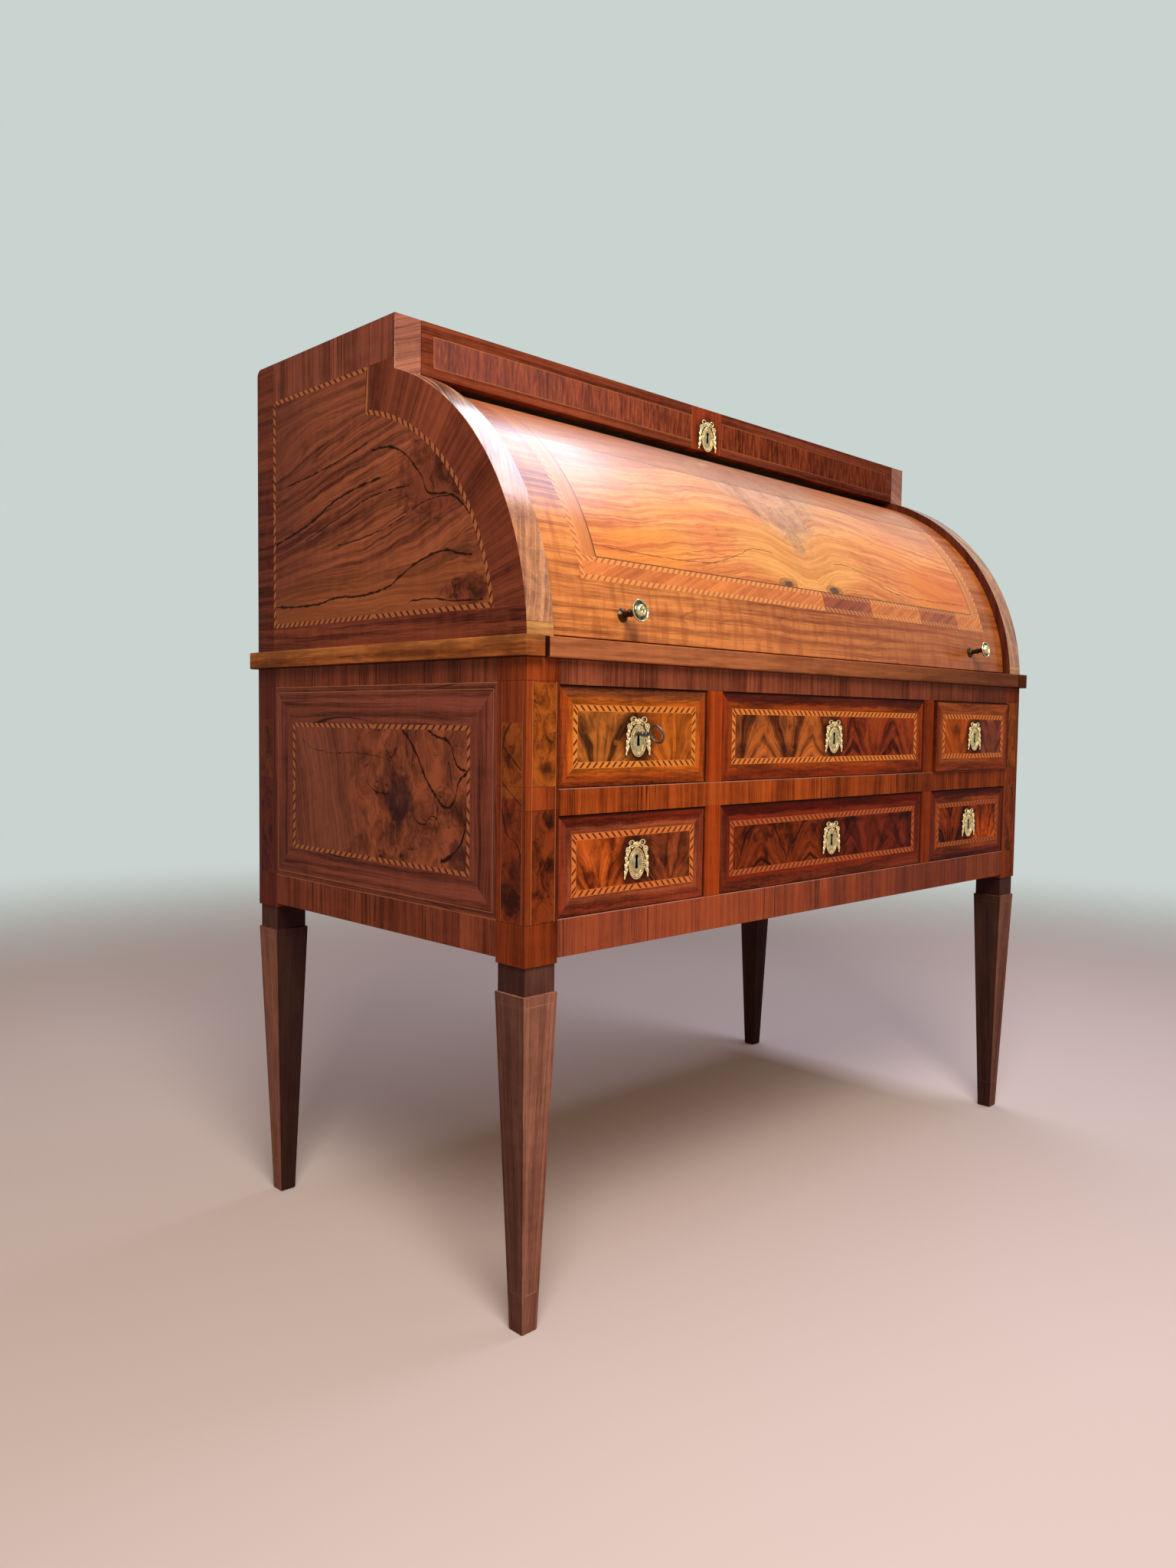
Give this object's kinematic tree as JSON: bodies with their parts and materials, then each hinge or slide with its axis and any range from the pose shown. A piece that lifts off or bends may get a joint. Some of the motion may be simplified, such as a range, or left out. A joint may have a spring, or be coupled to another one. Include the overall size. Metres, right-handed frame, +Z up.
{
  "type": "cylinder desk",
  "caption": "Veneered cylinder desk on tapering legs, with a curved lid that turns back, a writing slide, rows of drawers, a frieze drawer and an inner fitting of pigeonholes.",
  "frame": {"origin": "on the floor, under the middle of the whole desk with its key", "axes": "+X to the sitter's right, the drawers and the sitter on -Y, +Z up"},
  "size_m": [1.218, 0.648, 1.207],
  "materials": {
    "walnut_case": "polished walnut veneer",
    "walnut_front": "polished walnut veneer with stringing",
    "walnut_cylinder": "polished walnut veneer with stringing",
    "dark_leg": "stained and polished walnut",
    "carcase_wood": "planed oak and pine",
    "brass": "cast and chased brass",
    "iron": "filed iron",
    "leather": "waxed hide"
  },
  "bodies": {
    "case": {"leg_front_left": "dark_leg", "leg_front_right": "dark_leg", "leg_back_left": "dark_leg", "leg_back_right": "dark_leg", "front_posts": "walnut_front", "back_posts": "walnut_case", "lower_side_left": "walnut_case", "lower_side_right": "walnut_case", "lower_back": "carcase_wood", "bottom_rail": "walnut_front", "middle_rail": "walnut_front", "top_rail": "walnut_front", "drawer_dividers": "walnut_front", "dust_boards": "carcase_wood", "case_board": "carcase_wood", "drawer_guides": "carcase_wood", "waist_moulding": "walnut_front", "pivot_pins": "iron", "upper_side_left": "walnut_case", "upper_side_right": "walnut_case", "upper_back": "carcase_wood", "top_board": "walnut_case", "frieze_bed": "carcase_wood", "fitting": "walnut_front"},
    "cylinder": {"cylinder_shell": "walnut_cylinder", "cylinder_arm_left": "walnut_case", "cylinder_arm_right": "walnut_case", "knob_left": "brass", "knob_right": "brass"},
    "writing_slide": {"slide_board": "walnut_front", "slide_strip": "walnut_front", "writing_leather": "leather"},
    "frieze_drawer": {"frieze_drawer_front": "walnut_case", "frieze_drawer_box": "carcase_wood", "escutcheon_frieze": "brass"},
    "drawer_top_left": {"drawer_front_top_left": "walnut_front", "drawer_box_top_left": "carcase_wood", "escutcheon_top_left": "brass", "lock_case": "iron"},
    "drawer_top_middle": {"drawer_front_top_middle": "walnut_front", "drawer_box_top_middle": "carcase_wood", "escutcheon_top_middle": "brass"},
    "drawer_top_right": {"drawer_front_top_right": "walnut_front", "drawer_box_top_right": "carcase_wood", "escutcheon_top_right": "brass"},
    "drawer_bottom_left": {"drawer_front_bottom_left": "walnut_front", "drawer_box_bottom_left": "carcase_wood", "escutcheon_bottom_left": "brass"},
    "drawer_bottom_middle": {"drawer_front_bottom_middle": "walnut_front", "drawer_box_bottom_middle": "carcase_wood", "escutcheon_bottom_middle": "brass"},
    "drawer_bottom_right": {"drawer_front_bottom_right": "walnut_front", "drawer_box_bottom_right": "carcase_wood", "escutcheon_bottom_right": "brass"},
    "lock_bolt": {"lock_bolt": "iron"},
    "key": {"key": "iron"},
    "fitting_drawer_1": {"fitting_drawer_1": "walnut_front"},
    "fitting_drawer_2": {"fitting_drawer_2": "walnut_front"},
    "fitting_drawer_3": {"fitting_drawer_3": "walnut_front"}
  },
  "joints": [
    {"name": "cylinder_turn", "type": "hinge", "parent": "case", "child": "cylinder", "pos_m": [0, 0.091, 0.786], "axis": [-1, 0, 0], "range_deg": [0, 49]},
    {"name": "slide_out", "type": "slide", "parent": "case", "child": "writing_slide", "axis": [0, -1, 0], "range_m": [0, 0.2]},
    {"name": "frieze_drawer_slide", "type": "slide", "parent": "case", "child": "frieze_drawer", "axis": [0, -1, 0], "range_m": [0, 0.2]},
    {"name": "drawer_top_left_slide", "type": "slide", "parent": "case", "child": "drawer_top_left", "axis": [0, -1, 0], "range_m": [0, 0.38]},
    {"name": "drawer_top_middle_slide", "type": "slide", "parent": "case", "child": "drawer_top_middle", "axis": [0, -1, 0], "range_m": [0, 0.38]},
    {"name": "drawer_top_right_slide", "type": "slide", "parent": "case", "child": "drawer_top_right", "axis": [0, -1, 0], "range_m": [-0.005, 0.38]},
    {"name": "drawer_bottom_left_slide", "type": "slide", "parent": "case", "child": "drawer_bottom_left", "axis": [0, -1, 0], "range_m": [0, 0.38]},
    {"name": "drawer_bottom_middle_slide", "type": "slide", "parent": "case", "child": "drawer_bottom_middle", "axis": [0, -1, 0], "range_m": [0, 0.38]},
    {"name": "drawer_bottom_right_slide", "type": "slide", "parent": "case", "child": "drawer_bottom_right", "axis": [0, -1, 0], "range_m": [0, 0.38]},
    {"name": "fitting_drawer_1_slide", "type": "slide", "parent": "case", "child": "fitting_drawer_1", "axis": [0, -1, 0], "range_m": [0, 0.13]},
    {"name": "fitting_drawer_2_slide", "type": "slide", "parent": "case", "child": "fitting_drawer_2", "axis": [0, -1, 0], "range_m": [0, 0.13]},
    {"name": "fitting_drawer_3_slide", "type": "slide", "parent": "case", "child": "fitting_drawer_3", "axis": [0, -1, 0], "range_m": [0, 0.13]},
    {"name": "key_turn", "type": "hinge", "parent": "drawer_top_left", "child": "key", "pos_m": [-0.42, -0.28, 0.6924], "axis": [0, 1, 0], "range_deg": [-20, 160]},
    {"name": "bolt_throw", "type": "slide", "parent": "drawer_top_left", "child": "lock_bolt", "axis": [0, 0, 1], "range_m": [-0.00072, 0.00577]}
  ],
  "couplings": [
    {"joint": "key_turn", "follows": "bolt_throw", "rad_per_m": 483.32}
  ]
}
